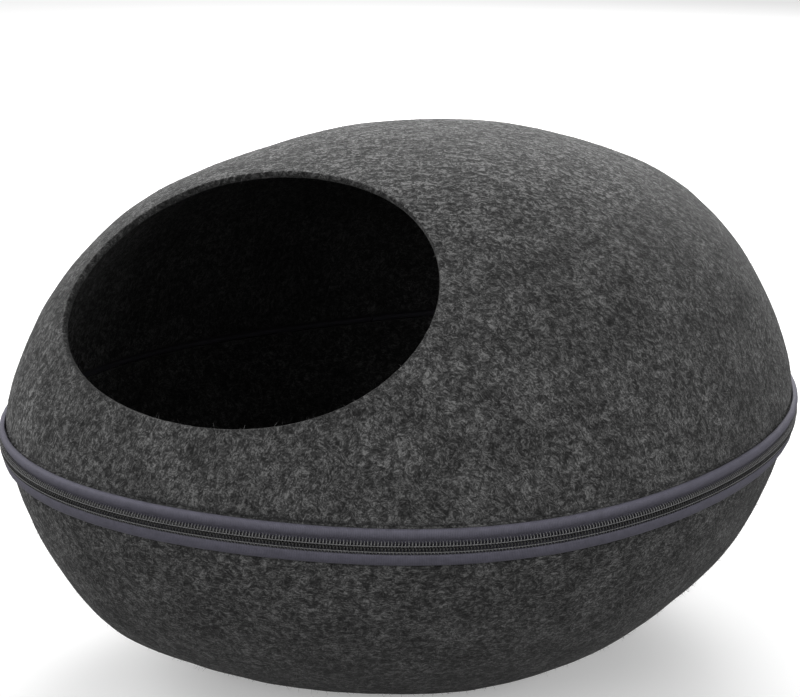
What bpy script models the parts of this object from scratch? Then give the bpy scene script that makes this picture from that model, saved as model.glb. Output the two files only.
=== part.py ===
"""Igloo cat bed: an egg of pressed felt in two shells, joined by a zip that runs all the way round.

Metres, +Z up. The long axis of the egg lies along X, the flat of its lower shell stands on Z = 0,
and the oval entrance in its upper shell looks towards -X, -Y and up.
"""

import math

import bmesh
import bpy
from mathutils import Vector

MM = 0.001

# The egg: its plan is a circle with a few soft waves, {waves round: (cosine part, sine part)}
MEAN_RADIUS = 210.5 * MM
PLAN_WAVES = {
    2: (24.5 * MM, 0.0 * MM),
    3: (-2.0 * MM, 7.0 * MM),
    4: (2.0 * MM, 0.0 * MM),
}
WIDEST_HEIGHT = 148.5 * MM
DOME_RISE = 168.5 * MM
DOME_SQUARENESS = 2.125
BOWL_DEPTH = 158.0 * MM
BOWL_SQUARENESS = 2.19
AXIS_X, AXIS_Y = 1.2 * MM, 7.0 * MM
DOME_LEAN_X, DOME_LEAN_Y = 1.5 * MM, 1.0 * MM
BOWL_LEAN_X, BOWL_LEAN_Y = -9.5 * MM, 4.5 * MM
SEAM_FLARE = 4.8 * MM
FLARE_MIDDLE, FLARE_SPREAD = 157.0 * MM, 34.0 * MM
FELT = 4.0 * MM
GAP = 0.3 * MM

# The entrance: an oval cut along one slanting line, placed from the middle of the widest level
ENTRANCE_AZIMUTH = math.radians(-51.0)
ENTRANCE_ELEVATION = math.radians(53.5)
ENTRANCE_HALF_WIDTH = 111.5 * MM
ENTRANCE_HALF_HEIGHT = 84.5 * MM
ENTRANCE_TURN = math.radians(5.8)
ENTRANCE_ASIDE = -35.5 * MM
ENTRANCE_UP = -49.0 * MM
ENTRANCE_SIDES = 64
CUTTER_START, CUTTER_END = 60.0 * MM, 360.0 * MM

# The zip: its teeth meet on a nearly level line, {waves round: (cosine part, sine part)}
ZIP_HEIGHT = 145.7 * MM
ZIP_WAVES = {
    1: (-0.6 * MM, 0.8 * MM),
    3: (-0.8 * MM, 0.3 * MM),
    4: (-0.3 * MM, 1.0 * MM),
}
FELT_SETBACK = 3.0 * MM
COIL_INNER, COIL_OUTER = 1.9 * MM, 4.3 * MM
COIL_HALF_WIDTH = 3.1 * MM
COIL_ROUNDING = 0.7 * MM
TAPE_SHEET = 1.0 * MM
TAPE_FOOT_PROUD, TAPE_MIDDLE_PROUD = 3.1 * MM, 3.8 * MM
TAPE_BOW_SHARE = 0.5
UPPER_TAPE_REACH = 10.3 * MM
LOWER_TAPE_REACH = 10.7 * MM

# The zip's ends, tab, slider and pull, at the back
ZIP_END_ANGLE = math.radians(75.0)
ZIP_END_GAP = math.radians(0.2)
TAB_HALF_SPAN = math.radians(2.2)
TAB_SHEET = 0.9 * MM
SLIDER_ANGLE = math.radians(69.5)
SLIDER_LENGTH, SLIDER_WIDTH, SLIDER_PLATE = 12.0 * MM, 8.4 * MM, 1.8 * MM
BAIL_WIDTH, BAIL_RISE, BAIL_WIRE = 2.4 * MM, 3.2 * MM, 1.0 * MM
BAIL_TOP, BAIL_BOTTOM = 2.4 * MM, -3.0 * MM
PULL_WIDTH, PULL_SHEET = 7.0 * MM, 1.2 * MM
PULL_TOP, PULL_BOTTOM = 1.0 * MM, -23.0 * MM
PULL_EYE_TOP, PULL_EYE_BOTTOM, PULL_EYE_WIDTH = -0.5 * MM, -4.4 * MM, 3.4 * MM
PULL_CORNER = 2.2 * MM
METAL_EDGE = 0.4 * MM

# How finely the solids are drawn
ROUND_STEPS = 72
DOME_STEPS = 17
BOWL_STEPS = 12
TAB_STEPS = 4
CORNER_STEPS = 4
EDGE_SEGMENTS = 2
AIM_STEP = math.radians(0.5)
SHARP_ANGLE = math.radians(35.0)

# The corners of each face of a box whose corners are counted along, out and up
BOX_FACES = ((0, 1, 3, 2), (4, 5, 7, 6), (0, 1, 5, 4), (2, 3, 7, 6), (0, 2, 6, 4), (1, 3, 7, 5))

# Material: colour, roughness, metallic
MATERIALS = {
    "felt": ((0.045, 0.045, 0.045), 0.95, 0.0),
    "zip_tape": ((0.085, 0.082, 0.105), 0.80, 0.0),
    "zip_coil": ((0.020, 0.020, 0.018), 0.45, 0.0),
    "slider_metal": ((0.060, 0.060, 0.062), 0.40, 0.6),
}


def clear_scene():
    """Starts from an empty scene."""
    for thing in list(bpy.data.objects):
        bpy.data.objects.remove(thing, do_unlink=True)


def material(name):
    """One of the four finishes, made once."""
    found = bpy.data.materials.get(name)
    if found:
        return found
    colour, roughness, metallic = MATERIALS[name]
    made = bpy.data.materials.new(name)
    made.use_nodes = True
    shader = made.node_tree.nodes["Principled BSDF"]
    shader.inputs["Base Color"].default_value = (*colour, 1.0)
    shader.inputs["Roughness"].default_value = roughness
    shader.inputs["Metallic"].default_value = metallic
    return made


def add_object(name, mesh_data, material_name):
    """Makes an object of a bmesh, with its faces pointing out."""
    bmesh.ops.recalc_face_normals(mesh_data, faces=mesh_data.faces)
    mesh = bpy.data.meshes.new(name)
    mesh_data.to_mesh(mesh)
    mesh_data.free()
    mesh.shade_smooth()
    mesh.set_sharp_from_angle(angle=SHARP_ANGLE)
    made = bpy.data.objects.new(name, mesh)
    made.data.materials.append(material(material_name))
    bpy.context.scene.collection.objects.link(made)
    return made


def sum_waves(waves, angle):
    """The sum of a few soft waves round the egg, at a plan angle."""
    return sum(c * math.cos(n * angle) + s * math.sin(n * angle) for n, (c, s) in waves.items())


def plan_radius(angle):
    """How far the felt's outer face stands from the egg's axis at its widest level."""
    return MEAN_RADIUS + sum_waves(PLAN_WAVES, angle)


def wall_point(angle, height, proud=0.0):
    """A point of the felt's outer face, or standing proud of it, at a plan angle and height."""
    above = height >= WIDEST_HEIGHT
    reach = DOME_RISE if above else BOWL_DEPTH
    squareness = DOME_SQUARENESS if above else BOWL_SQUARENESS
    lean_x = DOME_LEAN_X if above else BOWL_LEAN_X
    lean_y = DOME_LEAN_Y if above else BOWL_LEAN_Y
    level = min(abs(height - WIDEST_HEIGHT) / reach, 1.0)
    flare = SEAM_FLARE * math.exp(-(((height - FLARE_MIDDLE) / FLARE_SPREAD) ** 2))
    radius = plan_radius(angle) * (1.0 - level**squareness) ** (1.0 / squareness) + flare + proud
    x = AXIS_X + lean_x * level**2 + radius * math.cos(angle)
    y = AXIS_Y + lean_y * level**2 + radius * math.sin(angle)
    return Vector((x, y, height))


def zip_line(angle):
    """Height of the line where the two rows of teeth meet."""
    return ZIP_HEIGHT + sum_waves(ZIP_WAVES, angle)


def step_angles():
    """The plan angles at which the shells are drawn."""
    return [2.0 * math.pi * step / ROUND_STEPS for step in range(ROUND_STEPS)]


def bridge_rows(mesh_data, rows):
    """Quads between neighbouring closed rows of vertices."""
    for low, high in zip(rows, rows[1:]):
        count = len(low)
        for k in range(count):
            after = (k + 1) % count
            mesh_data.faces.new((low[k], low[after], high[after], high[k]))


def close_with_point(mesh_data, row, point):
    """Triangles from a closed row to one vertex."""
    tip = mesh_data.verts.new(point)
    for k, vertex in enumerate(row):
        mesh_data.faces.new((vertex, row[(k + 1) % len(row)], tip))


def thicken(shell):
    """Gives a felt sheet its thickness on the inside."""
    sheet = shell.modifiers.new("felt_thickness", "SOLIDIFY")
    sheet.thickness = FELT
    sheet.offset = -1.0
    sheet.use_even_offset = True
    return shell


def dome_rows(mesh_data):
    """Rows of the upper shell from its edge at the zip to just below its crown."""
    rows = []
    for step in range(DOME_STEPS):
        share = math.sin(0.5 * math.pi * step / DOME_STEPS)
        row = []
        for angle in step_angles():
            edge = zip_line(angle) + FELT_SETBACK
            height = edge + (WIDEST_HEIGHT + DOME_RISE - edge) * share
            row.append(mesh_data.verts.new(wall_point(angle, height)))
        rows.append(row)
    return rows


def entrance_axes():
    """The direction the entrance looks in, the direction across it and the direction up it."""
    azimuth, elevation, turn = ENTRANCE_AZIMUTH, ENTRANCE_ELEVATION, ENTRANCE_TURN
    level = Vector((math.sin(azimuth), -math.cos(azimuth), 0.0))
    out = level * math.cos(elevation) + Vector((0.0, 0.0, math.sin(elevation)))
    side = Vector((math.cos(azimuth), math.sin(azimuth), 0.0))
    up = side.cross(out) * -1.0
    across = side * math.cos(turn) + up * math.sin(turn)
    upward = up * math.cos(turn) - side * math.sin(turn)
    centre = Vector((AXIS_X, AXIS_Y, WIDEST_HEIGHT)) + side * ENTRANCE_ASIDE + up * ENTRANCE_UP
    return centre, out, across, upward


def make_entrance_cutter():
    """The oval prism that the entrance is cut with."""
    centre, out, across, upward = entrance_axes()
    mesh_data = bmesh.new()
    rings = []
    for reach in (CUTTER_START, CUTTER_END):
        ring = []
        for step in range(ENTRANCE_SIDES):
            turn = 2.0 * math.pi * step / ENTRANCE_SIDES
            sideways = across * (ENTRANCE_HALF_WIDTH * math.cos(turn))
            lift = upward * (ENTRANCE_HALF_HEIGHT * math.sin(turn))
            ring.append(mesh_data.verts.new(centre + out * reach + sideways + lift))
        rings.append(ring)
    bridge_rows(mesh_data, rings)
    mesh_data.faces.new(rings[0])
    mesh_data.faces.new(rings[1])
    cutter = add_object("entrance_cutter", mesh_data, "felt")
    cutter.hide_render = True
    cutter.display_type = "WIRE"
    return cutter


def make_upper_shell():
    """The felt dome with its oval entrance."""
    mesh_data = bmesh.new()
    rows = dome_rows(mesh_data)
    bridge_rows(mesh_data, rows)
    close_with_point(mesh_data, rows[-1], wall_point(0.0, WIDEST_HEIGHT + DOME_RISE))
    shell = thicken(add_object("upper_shell", mesh_data, "felt"))
    opening = shell.modifiers.new("entrance", "BOOLEAN")
    opening.operation = "DIFFERENCE"
    opening.solver = "EXACT"
    opening.object = make_entrance_cutter()
    return shell


def make_lower_shell():
    """The shallower felt bowl, pressed flat where it stands."""
    mesh_data = bmesh.new()
    base_turn = math.asin(WIDEST_HEIGHT / BOWL_DEPTH)
    rows = []
    for step in range(BOWL_STEPS + 1):
        share = math.sin(base_turn * step / BOWL_STEPS) / math.sin(base_turn)
        row = []
        for angle in step_angles():
            edge = zip_line(angle) - FELT_SETBACK
            row.append(mesh_data.verts.new(wall_point(angle, edge * (1.0 - share))))
        rows.append(row)
    bridge_rows(mesh_data, rows)
    corners = [vertex.co for vertex in rows[-1]]
    centre = sum(corners, Vector()) / len(corners)
    close_with_point(mesh_data, rows[-1], centre)
    return thicken(add_object("lower_shell", mesh_data, "felt"))


def band_strip(name, section, first, last, steps, material_name):
    """A strip that follows the zip line: section(angle) gives its corners as (proud, rise) pairs."""
    mesh_data = bmesh.new()
    rings = []
    for step in range(steps + 1):
        angle = first + (last - first) * step / steps
        middle = zip_line(angle)
        corners = [wall_point(angle, middle + rise, proud) for proud, rise in section(angle)]
        rings.append([mesh_data.verts.new(corner) for corner in corners])
    bridge_rows(mesh_data, rings)
    mesh_data.faces.new(rings[0])
    mesh_data.faces.new(rings[-1])
    return add_object(name, mesh_data, material_name)


def round_the_egg(name, section, material_name):
    """A strip that runs once round, from one end of the zip to the other."""
    first = ZIP_END_ANGLE + ZIP_END_GAP
    last = ZIP_END_ANGLE - ZIP_END_GAP + 2.0 * math.pi
    return band_strip(name, section, first, last, ROUND_STEPS, material_name)


def tape_middle(reach):
    """How far from the zip line a tape bows out most."""
    foot = COIL_HALF_WIDTH + GAP
    return foot + TAPE_BOW_SHARE * (reach - foot)


def tape_section(side, reach):
    """A tape that leaves the felt at its far edge, bows out and turns in to the teeth."""
    outer = [
        (TAPE_FOOT_PROUD, side * (COIL_HALF_WIDTH + GAP)),
        (TAPE_MIDDLE_PROUD, side * tape_middle(reach)),
        (GAP + TAPE_SHEET, side * reach),
    ]
    inner = [(proud - TAPE_SHEET, rise) for proud, rise in reversed(outer)]
    return outer + inner


def coil_section(side):
    """One row of interlocked teeth, drawn as a solid bar with its outer corners taken off."""
    near, far = 0.5 * GAP, COIL_HALF_WIDTH
    return [
        (COIL_INNER, side * near),
        (COIL_OUTER, side * near),
        (COIL_OUTER, side * (far - COIL_ROUNDING)),
        (COIL_OUTER - COIL_ROUNDING, side * far),
        (COIL_INNER, side * far),
    ]


def make_zip():
    """Two tapes and two rows of teeth."""
    round_the_egg(
        "zip_tape_upper",
        lambda angle: tape_section(1.0, UPPER_TAPE_REACH),
        "zip_tape",
    )
    round_the_egg(
        "zip_tape_lower",
        lambda angle: tape_section(-1.0, LOWER_TAPE_REACH),
        "zip_tape",
    )
    round_the_egg("zip_coil_upper", lambda angle: coil_section(1.0), "zip_coil")
    round_the_egg("zip_coil_lower", lambda angle: coil_section(-1.0), "zip_coil")


def tab_section(angle):
    """The patch over the zip's ends: it follows the tapes and teeth just off their faces."""
    crest = COIL_OUTER + GAP
    inner = [
        (2.0 * GAP + TAPE_SHEET, UPPER_TAPE_REACH),
        (TAPE_MIDDLE_PROUD + GAP, tape_middle(UPPER_TAPE_REACH)),
        (crest, COIL_HALF_WIDTH + 2.0 * GAP),
        (crest, -COIL_HALF_WIDTH - 2.0 * GAP),
        (TAPE_MIDDLE_PROUD + GAP, -tape_middle(LOWER_TAPE_REACH)),
        (2.0 * GAP + TAPE_SHEET, -LOWER_TAPE_REACH),
    ]
    outer = [(proud + TAB_SHEET, rise) for proud, rise in reversed(inner)]
    return inner + outer


def make_end_tab():
    """A plain patch of tape that covers the two ends of the zip."""
    first = ZIP_END_ANGLE - TAB_HALF_SPAN
    last = ZIP_END_ANGLE + TAB_HALF_SPAN
    return band_strip("zip_end_tab", tab_section, first, last, TAB_STEPS, "zip_tape")


def slider_axes():
    """A point on the zip line under the slider, the way along the zip, and the way out."""
    height = zip_line(SLIDER_ANGLE)
    point = wall_point(SLIDER_ANGLE, height)
    before = wall_point(SLIDER_ANGLE - AIM_STEP, height)
    along = (wall_point(SLIDER_ANGLE + AIM_STEP, height) - before).normalized()
    return point, along, along.cross(Vector((0.0, 0.0, 1.0)))


def slider_block(mesh_data, along_span, out_span, up_span):
    """A box in the slider's own directions: along the zip, out from it, and up."""
    point, along, out = slider_axes()
    corners = []
    for a in along_span:
        for o in out_span:
            for u in up_span:
                place = point + along * a + out * o + Vector((0.0, 0.0, u))
                corners.append(mesh_data.verts.new(place))
    for face in BOX_FACES:
        mesh_data.faces.new([corners[k] for k in face])


def slider_piece(name, along_span, out_span, up_span):
    """One box of the slider, as an object of its own."""
    mesh_data = bmesh.new()
    slider_block(mesh_data, along_span, out_span, up_span)
    return add_object(name, mesh_data, "slider_metal")


def combine(target, other, operation):
    """Joins another object to the target or cuts it away, then keeps it as a hidden helper."""
    other.hide_render = True
    other.display_type = "WIRE"
    change = target.modifiers.new(other.name, "BOOLEAN")
    change.operation = operation
    change.solver = "EXACT"
    change.object = other


def soften(piece, width):
    """Breaks the sharp edges of a metal piece."""
    edge = piece.modifiers.new("broken_edges", "BEVEL")
    edge.width = width
    edge.segments = EDGE_SEGMENTS
    edge.limit_method = "ANGLE"


def make_slider():
    """The slider's plate over the teeth, with the bail that holds its pull."""
    low = COIL_OUTER + GAP
    top = low + SLIDER_PLATE
    half_length, half_width = 0.5 * SLIDER_LENGTH, 0.5 * SLIDER_WIDTH
    half_bail = 0.5 * BAIL_WIDTH
    plate = slider_piece(
        "zip_slider", (-half_length, half_length), (low, top), (-half_width, half_width)
    )
    arch = slider_piece(
        "bail_block",
        (-half_bail, half_bail),
        (top - 0.5 * SLIDER_PLATE, top + BAIL_RISE),
        (BAIL_BOTTOM, BAIL_TOP),
    )
    eye = slider_piece(
        "bail_eye",
        (-BAIL_WIDTH, BAIL_WIDTH),
        (top, top + BAIL_RISE - BAIL_WIRE),
        (BAIL_BOTTOM + BAIL_WIRE, BAIL_TOP - BAIL_WIRE),
    )
    combine(plate, arch, "UNION")
    combine(plate, eye, "DIFFERENCE")
    return plate


def pull_outline():
    """The pull's outline as (along, up) points, with two round corners at its foot."""
    half = 0.5 * PULL_WIDTH
    points = [(half, PULL_TOP), (-half, PULL_TOP)]
    for centre, start in ((-half + PULL_CORNER, math.pi), (half - PULL_CORNER, 1.5 * math.pi)):
        for step in range(CORNER_STEPS + 1):
            turn = start + 0.5 * math.pi * step / CORNER_STEPS
            across = centre + PULL_CORNER * math.cos(turn)
            points.append((across, PULL_BOTTOM + PULL_CORNER + PULL_CORNER * math.sin(turn)))
    return points


def make_pull():
    """The flat pull, hanging straight down with its top bar through the bail."""
    point, along, out = slider_axes()
    near = COIL_OUTER + GAP + SLIDER_PLATE + GAP
    mesh_data = bmesh.new()
    rings = []
    for reach in (near, near + PULL_SHEET):
        places = [point + along * a + out * reach + Vector((0.0, 0.0, u)) for a, u in pull_outline()]
        rings.append([mesh_data.verts.new(place) for place in places])
    bridge_rows(mesh_data, rings)
    mesh_data.faces.new(rings[0])
    mesh_data.faces.new(rings[1])
    pull = add_object("zip_pull", mesh_data, "slider_metal")
    eye = slider_piece(
        "pull_eye",
        (-0.5 * PULL_EYE_WIDTH, 0.5 * PULL_EYE_WIDTH),
        (near - PULL_SHEET, near + 2.0 * PULL_SHEET),
        (PULL_EYE_BOTTOM, PULL_EYE_TOP),
    )
    combine(pull, eye, "DIFFERENCE")
    return pull


def main():
    """Builds the whole cat bed."""
    clear_scene()
    make_upper_shell()
    make_lower_shell()
    make_zip()
    make_end_tab()
    soften(make_slider(), METAL_EDGE)
    make_pull()


main()
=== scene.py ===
"""Dresses the igloo cat bed: pressed grey felt in two shells, with a coil zip all the way round.

Run as a script in Blender 4.5. Everything is in metres, in the same frame as the solids.
"""

import math

import bmesh
import bpy
import numpy as np
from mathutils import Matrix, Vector


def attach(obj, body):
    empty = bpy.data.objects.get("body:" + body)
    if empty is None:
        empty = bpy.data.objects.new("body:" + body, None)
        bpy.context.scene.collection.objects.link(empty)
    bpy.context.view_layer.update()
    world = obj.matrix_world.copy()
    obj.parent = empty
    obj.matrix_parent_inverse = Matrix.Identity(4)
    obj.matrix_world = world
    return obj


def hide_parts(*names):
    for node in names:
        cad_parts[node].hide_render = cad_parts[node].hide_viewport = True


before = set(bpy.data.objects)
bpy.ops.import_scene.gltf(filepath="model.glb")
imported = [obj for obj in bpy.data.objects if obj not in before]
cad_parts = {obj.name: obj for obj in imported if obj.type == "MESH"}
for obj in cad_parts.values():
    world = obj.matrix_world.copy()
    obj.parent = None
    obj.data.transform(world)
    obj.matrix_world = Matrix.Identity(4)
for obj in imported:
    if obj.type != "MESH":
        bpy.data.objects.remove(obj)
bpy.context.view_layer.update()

bl_info = {
    "name": "Igloo cat bed",
    "version": (1, 0, 0),
    "blender": (4, 5, 0),
    "location": "View3D > Sidebar > Cat Bed",
    "description": "Felt shells, zip and studio for the igloo cat bed",
    "category": "Object",
}

MM = 0.001
FULL_TURN = 2.0 * math.pi

# The egg, with the same values as its solids: {waves round: (cosine part, sine part)}
MEAN_RADIUS = 210.5 * MM
PLAN_WAVES = {2: (24.5 * MM, 0.0), 3: (-2.0 * MM, 7.0 * MM), 4: (2.0 * MM, 0.0)}
WIDEST_HEIGHT = 148.5 * MM
DOME_RISE, DOME_SQUARENESS = 168.5 * MM, 2.125
BOWL_DEPTH, BOWL_SQUARENESS = 158.0 * MM, 2.19
AXIS_X, AXIS_Y = 1.2 * MM, 7.0 * MM
DOME_LEAN = (1.5 * MM, 1.0 * MM)
BOWL_LEAN = (-9.5 * MM, 4.5 * MM)
SEAM_FLARE = 4.8 * MM
FLARE_MIDDLE, FLARE_SPREAD = 157.0 * MM, 34.0 * MM
FELT = 4.0 * MM
MIDDLE = np.array([AXIS_X, AXIS_Y, WIDEST_HEIGHT])

# The entrance, cut along one slanting line
ENTRANCE_AZIMUTH = math.radians(-51.0)
ENTRANCE_ELEVATION = math.radians(53.5)
ENTRANCE_HALF_WIDTH, ENTRANCE_HALF_HEIGHT = 111.5 * MM, 84.5 * MM
ENTRANCE_TURN = math.radians(5.8)
ENTRANCE_ASIDE, ENTRANCE_UP = -35.5 * MM, -49.0 * MM

# The zip; its line runs up to 1.4 mm above that of the solids, closer to the photograph
ZIP_HEIGHT = 146.3 * MM
ZIP_WAVES = {
    1: (-1.0 * MM, 0.8 * MM),
    2: (0.25 * MM, -0.28 * MM),
    3: (-0.8 * MM, 0.3 * MM),
    4: (-0.3 * MM, 1.0 * MM),
}
FELT_SETBACK = 3.0 * MM
UPPER_TAPE_REACH, LOWER_TAPE_REACH = 10.6 * MM, 11.1 * MM
ZIP_END_ANGLE = math.radians(75.0)
ZIP_END_GAP = math.radians(0.2)
TAB_HALF_SPAN = math.radians(2.2)
SLIDER_ANGLE = math.radians(69.5)
AIM_STEP = math.radians(0.5)

# The camera: its view of the middle of the widest level
VIEW_AZIMUTH, VIEW_ELEVATION = math.radians(-24.4), math.radians(20.0)
VIEW_DISTANCE = 1.425
VIEW_LENS, VIEW_SENSOR = 106.65, 36.0
VIEW_SHIFT = (-0.0229, 0.0755)


# Settings that a user would change


def colour_setting(name, what, colour):
    """A setting for a colour."""
    return bpy.props.FloatVectorProperty(
        name=name, description=what, subtype="COLOR", size=3, min=0.0, max=1.0, default=colour
    )


def number_setting(name, what, value, low, high, kind="NONE"):
    """A setting for a plain number, a DISTANCE or a POWER."""
    unit = "LENGTH" if kind == "DISTANCE" else kind
    return bpy.props.FloatProperty(
        name=name, description=what, subtype=kind, unit=unit, default=value, min=low, max=high
    )


def length_setting(name, what, value, low, high):
    """A setting for a length, given in millimetres."""
    return number_setting(name, what, value * MM, low * MM, high * MM, "DISTANCE")


class CatBedSettings(bpy.types.PropertyGroup):
    """Sizes and colours of the cat bed's finish."""

    felt_dark: colour_setting(
        "Felt dark", "Colour of the deep parts between the fibres", (0.020, 0.020, 0.020)
    )
    felt_middle: colour_setting(
        "Felt middle", "Main colour of the pressed felt", (0.047, 0.047, 0.047)
    )
    felt_light: colour_setting(
        "Felt light", "Colour of the pale fibres in the felt", (0.170, 0.170, 0.169)
    )
    fibre_length: length_setting(
        "Fibre length", "Length of the streaks in the felt", 4.5, 1.0, 20.0
    )
    fibre_width: length_setting("Fibre width", "Width of the streaks in the felt", 0.95, 0.1, 5.0)
    unevenness: length_setting(
        "Unevenness", "How far the hand-formed felt wanders from a smooth egg", 0.7, 0.0, 3.0
    )
    hairs_per_area: number_setting(
        "Hairs per square metre", "How many hairs stand out of the felt", 16000.0, 0.0, 40000.0
    )
    hair_length: length_setting("Hair length", "Length of a middling loose hair", 2.6, 0.5, 10.0)
    tape_colour: colour_setting("Tape", "Colour of the woven zip tape", (0.101, 0.0975, 0.127))
    tooth_pitch: length_setting(
        "Tooth pitch", "Distance from one tooth of the coil to the next", 1.8, 1.0, 4.0
    )
    coil_colour: colour_setting("Coil", "Colour of the nylon teeth", (0.027, 0.027, 0.026))
    thread_colour: colour_setting("Thread", "Colour of the sewing thread", (0.200, 0.200, 0.202))
    metal_colour: colour_setting(
        "Slider", "Colour of the painted metal slider and pull", (0.045, 0.045, 0.047)
    )
    floor_colour: colour_setting("Floor", "Colour of the studio floor", (0.80, 0.80, 0.80))
    back_light: number_setting(
        "Back light", "Power of the soft light at the back right", 35.0, 0.0, 1000.0, "POWER"
    )
    front_light: number_setting(
        "Front lights", "Power of each of the two soft lights in front", 12.0, 0.0, 1000.0, "POWER"
    )
    sky_light: number_setting("Room light", "Strength of the room's even light", 0.55, 0.0, 5.0)


def settings():
    """The settings that are in force."""
    return bpy.context.scene.cat_bed


# The egg's shape, for arrays of angles and heights

NOISE_WAVES = 14
RAY_REACH = 0.32


def sum_waves(waves, angle):
    """The sum of a few soft waves round the egg, at plan angles."""
    total = np.zeros_like(angle)
    for count, (cosine, sine) in waves.items():
        total = total + cosine * np.cos(count * angle) + sine * np.sin(count * angle)
    return total


def zip_line(angle):
    """Height of the line where the two rows of teeth meet."""
    return ZIP_HEIGHT + sum_waves(ZIP_WAVES, angle)


def half_shape(height):
    """The egg's narrowing, flare and lean at each height, as for the dome or the bowl."""
    above = height >= WIDEST_HEIGHT
    reach = np.where(above, DOME_RISE, BOWL_DEPTH)
    squareness = np.where(above, DOME_SQUARENESS, BOWL_SQUARENESS)
    lean_x = np.where(above, DOME_LEAN[0], BOWL_LEAN[0])
    lean_y = np.where(above, DOME_LEAN[1], BOWL_LEAN[1])
    level = np.minimum(np.abs(height - WIDEST_HEIGHT) / reach, 1.0)
    shrink = np.maximum(1.0 - level**squareness, 0.0) ** (1.0 / squareness)
    flare = SEAM_FLARE * np.exp(-(((height - FLARE_MIDDLE) / FLARE_SPREAD) ** 2))
    return shrink, flare, lean_x * level**2, lean_y * level**2


def wall_points(angle, height, proud=0.0):
    """Points of the felt's outer face, or standing proud of it, at plan angles and heights."""
    shrink, flare, lean_x, lean_y = half_shape(height)
    radius = (MEAN_RADIUS + sum_waves(PLAN_WAVES, angle)) * shrink + flare + proud
    x = AXIS_X + lean_x + radius * np.cos(angle)
    y = AXIS_Y + lean_y + radius * np.sin(angle)
    return np.stack([x, y, height + 0.0 * radius], axis=-1)


def plan_angle(points):
    """The plan angle of points, seen from the egg's axis."""
    return np.arctan2(points[..., 1] - AXIS_Y, points[..., 0] - AXIS_X)


def is_outside(points):
    """Whether points lie outside the egg."""
    shrink, flare, lean_x, lean_y = half_shape(points[..., 2])
    x = points[..., 0] - AXIS_X - lean_x
    y = points[..., 1] - AXIS_Y - lean_y
    limit = (MEAN_RADIUS + sum_waves(PLAN_WAVES, np.arctan2(y, x))) * shrink + flare
    return np.hypot(x, y) > limit


def halve(low, high, is_high, rounds=34):
    """Closes in on the place between low and high where is_high turns true."""
    for _ in range(rounds):
        middle = 0.5 * (low + high)
        beyond = is_high(middle)
        low = np.where(beyond, low, middle)
        high = np.where(beyond, middle, high)
    return 0.5 * (low + high)


def shell_points(directions):
    """Where rays from the egg's middle meet the felt's outer face."""

    def at(reach):
        return MIDDLE + directions * reach[..., None]

    none = np.zeros(directions.shape[:-1])
    return at(halve(none, none + RAY_REACH, lambda reach: is_outside(at(reach))))


def unit(vectors):
    """Vectors of length 1."""
    return vectors / np.maximum(np.linalg.norm(vectors, axis=-1, keepdims=True), 1e-12)


def running_length(points):
    """How far along a row of points each of them lies."""
    steps = np.linalg.norm(np.diff(points, axis=0), axis=-1)
    return np.concatenate([[0.0], np.cumsum(steps)])


def entrance_axes():
    """A point on the entrance's middle line, its direction out, and the ways across and up it."""
    azimuth, elevation, turn = ENTRANCE_AZIMUTH, ENTRANCE_ELEVATION, ENTRANCE_TURN
    level = np.array([math.sin(azimuth), -math.cos(azimuth), 0.0])
    out = level * math.cos(elevation) + np.array([0.0, 0.0, math.sin(elevation)])
    side = np.array([math.cos(azimuth), math.sin(azimuth), 0.0])
    up = -np.cross(side, out)
    across = side * math.cos(turn) + up * math.sin(turn)
    upward = up * math.cos(turn) - side * math.sin(turn)
    return MIDDLE + side * ENTRANCE_ASIDE + up * ENTRANCE_UP, out, across, upward


def soft_noise(points, wavelength, seed):
    """A smooth uneven value from about -1 to 1, made of crossing waves of one length."""
    draw = np.random.default_rng(seed)
    total = np.zeros(points.shape[:-1])
    for _ in range(NOISE_WAVES):
        way = unit(draw.normal(size=3))
        stretch = FULL_TURN / (wavelength * draw.uniform(0.75, 1.5))
        total = total + np.sin(points @ way * stretch + draw.uniform(0.0, FULL_TURN))
    return total / math.sqrt(0.5 * NOISE_WAVES) * 0.5


def bell(distance, middle, width):
    """A soft bump of height 1 round a middle."""
    return np.exp(-(((distance - middle) / width) ** 2))


# Meshes out of rows of points


def band_faces(low, high, count):
    """Quads between two closed rows of vertices that start at low and at high."""
    pairs = [(k, (k + 1) % count) for k in range(count)]
    return [(low + k, low + after, high + after, high + k) for k, after in pairs]


def closed_row_faces(rows, count, start=0):
    """Quads between neighbouring closed rows of vertices, count to a row."""
    faces = []
    for row in range(rows - 1):
        low = start + row * count
        faces += band_faces(low, low + count, count)
    return faces


def end_faces(rows, count):
    """One face over the first of the closed rows, and one over the last."""
    last = (rows - 1) * count
    return [tuple(range(count)), tuple(range(last, last + count))]


def link_object(name, data):
    """An object in the scene that shows some mesh, light or camera."""
    made = bpy.data.objects.new(name, data)
    bpy.context.scene.collection.objects.link(made)
    return made


def make_mesh_object(name, points, faces, material, smooth=True):
    """A mesh object of points and faces."""
    mesh = bpy.data.meshes.new(name)
    mesh.from_pydata(np.asarray(points).reshape(-1, 3).tolist(), [], faces)
    mesh.update()
    if smooth:
        mesh.shade_smooth()
    if material is not None:
        mesh.materials.append(material)
    return link_object(name, mesh)


def face_out(made):
    """Turns the faces of a closed mesh to point out of it."""
    work = bmesh.new()
    work.from_mesh(made.data)
    bmesh.ops.recalc_face_normals(work, faces=work.faces)
    if work.calc_volume(signed=True) < 0.0:
        bmesh.ops.reverse_faces(work, faces=work.faces)
    work.to_mesh(made.data)
    work.free()
    made.data.update()
    return made


def grid_normals(rows):
    """Outward normals of a grid whose rows are closed loops round the egg."""
    along = np.roll(rows, -1, axis=1) - np.roll(rows, 1, axis=1)
    normals = unit(np.cross(along, np.gradient(rows, axis=0)))
    outward = np.sum(normals * (rows - MIDDLE), axis=-1, keepdims=True)
    return normals * np.where(outward < 0.0, -1.0, 1.0)


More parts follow.
